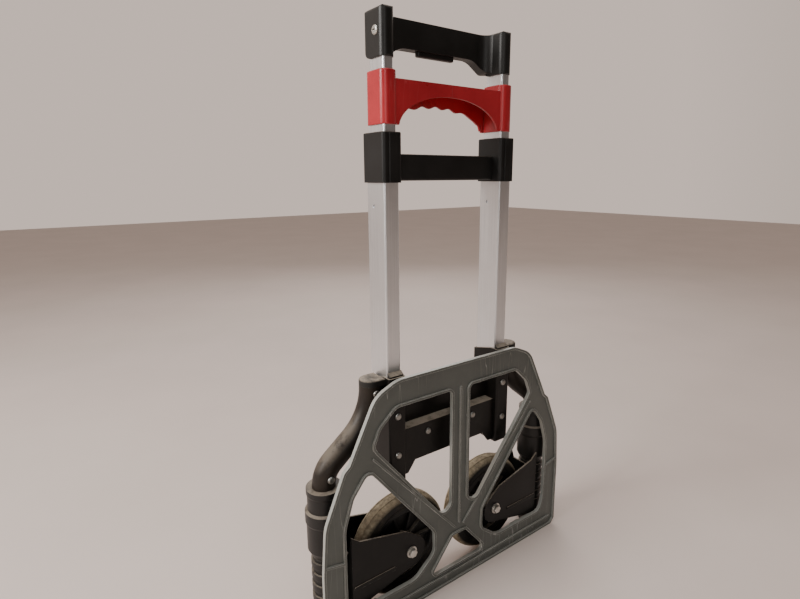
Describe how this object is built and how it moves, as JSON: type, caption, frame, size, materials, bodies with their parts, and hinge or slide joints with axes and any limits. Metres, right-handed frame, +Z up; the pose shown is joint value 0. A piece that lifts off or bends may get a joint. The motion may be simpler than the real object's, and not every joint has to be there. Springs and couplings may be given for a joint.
{
  "type": "folding platform cart",
  "caption": "Folding two-wheel hand cart stored flat: ribbed toe plate with windows, swing-in wheels, telescoping handle with a carry handle and a top grip.",
  "frame": {"origin": "on the floor under the middle of the folded cart's bounding box", "axes": "+Z up along the handle, +X across the cart to its right seen from behind the toe plate, -Y towards the toe plate's face"},
  "size_m": [0.433, 0.07, 0.765],
  "materials": {
    "aluminium_tube": "satin anodised, lightly scratched",
    "black_plastic": "fine moulded texture",
    "red_plastic": "satin moulded",
    "black_steel": "black powder coat, dusty",
    "plated_steel": "zinc plated",
    "spring_steel": "oiled",
    "inner_plastic": "moulded nylon",
    "hub_plastic": "moulded",
    "cast_plate": "grey-green coating, worn bright on the rims",
    "tyre_rubber": "dusty tread"
  },
  "bodies": {
    "frame": {"outer_tube_left": "aluminium_tube", "outer_tube_right": "aluminium_tube", "collar_left": "black_plastic", "collar_right": "black_plastic", "collar_crossbar": "black_plastic", "bent_tube_left": "black_steel", "bent_tube_right": "black_steel", "tube_caps": "black_plastic", "foot_bracket_left": "black_steel", "foot_bracket_right": "black_steel", "foot_block_left": "black_plastic", "foot_block_right": "black_plastic", "cross_channel": "black_steel", "bracket_rivets": "plated_steel", "channel_rivets": "plated_steel", "tube_rivets": "plated_steel", "cam_housing_left": "black_plastic", "cam_housing_right": "black_plastic", "swing_spring_left": "spring_steel", "swing_spring_right": "spring_steel", "leg_foot_left": "black_plastic", "leg_foot_right": "black_plastic", "hinge_pin_left": "plated_steel", "hinge_pin_right": "plated_steel", "pin_clips": "plated_steel"},
    "carry_stage": {"middle_tube_left": "aluminium_tube", "middle_tube_right": "aluminium_tube", "carry_handle": "red_plastic", "middle_plugs": "inner_plastic", "middle_lock_pins": "plated_steel"},
    "grip_stage": {"inner_tube_left": "aluminium_tube", "inner_tube_right": "aluminium_tube", "top_grip": "black_plastic", "grip_screws": "plated_steel", "inner_plugs": "inner_plastic", "inner_lock_pins": "plated_steel", "release_spring": "spring_steel"},
    "release": {"release_button": "black_plastic", "release_link": "inner_plastic", "release_rods": "plated_steel"},
    "toe_plate": {"toe_plate": "cast_plate"},
    "bracket_left": {"hinge_barrel_left": "black_plastic", "wheel_bracket_left": "black_steel", "axle_spacers_left": "plated_steel", "axle_bolt_left": "plated_steel", "axle_washer_left": "plated_steel", "axle_nut_left": "plated_steel"},
    "wheel_left": {"tyre_left": "tyre_rubber", "wheel_hub_left": "hub_plastic", "wheel_bush_left": "inner_plastic"},
    "bracket_right": {"hinge_barrel_right": "black_plastic", "wheel_bracket_right": "black_steel", "axle_spacers_right": "plated_steel", "axle_bolt_right": "plated_steel", "axle_washer_right": "plated_steel", "axle_nut_right": "plated_steel"},
    "wheel_right": {"tyre_right": "tyre_rubber", "wheel_hub_right": "hub_plastic", "wheel_bush_right": "inner_plastic"}
  },
  "joints": [
    {"name": "carry_slide", "type": "slide", "parent": "frame", "child": "carry_stage", "axis": [0, 0, 1], "range_m": [0, 0.167]},
    {"name": "grip_slide", "type": "slide", "parent": "carry_stage", "child": "grip_stage", "axis": [0, 0, 1], "range_m": [0, 0.168]},
    {"name": "release_press", "type": "slide", "parent": "grip_stage", "child": "release", "axis": [0, 0, 1], "range_m": [0, 0.004], "stiffness_N_per_m": 400, "springref_m": -0.01, "deforming": ["release_spring"]},
    {"name": "toe_plate_fold", "type": "hinge", "parent": "frame", "child": "toe_plate", "pos_m": [0, -0.019, 0.016], "axis": [1, 0, 0], "range_deg": [0, 90]},
    {"name": "wheel_swing_left", "type": "hinge", "parent": "frame", "child": "bracket_left", "pos_m": [-0.192, 0.002, 0.07], "axis": [0, 0, 1], "range_deg": [0, 90]},
    {"name": "wheel_swing_right", "type": "hinge", "parent": "frame", "child": "bracket_right", "pos_m": [0.192, 0.002, 0.07], "axis": [0, 0, -1], "range_deg": [0, 90]},
    {"name": "wheel_spin_left", "type": "hinge", "parent": "bracket_left", "child": "wheel_left", "pos_m": [-0.08, 0.002, 0.078], "axis": [0, 1, 0], "continuous": true},
    {"name": "wheel_spin_right", "type": "hinge", "parent": "bracket_right", "child": "wheel_right", "pos_m": [0.08, 0.002, 0.078], "axis": [0, 1, 0], "continuous": true}
  ],
  "couplings": [
    {"joint": "wheel_swing_left", "follows": "toe_plate_fold", "ratio": 1},
    {"joint": "wheel_swing_right", "follows": "toe_plate_fold", "ratio": 1}
  ]
}
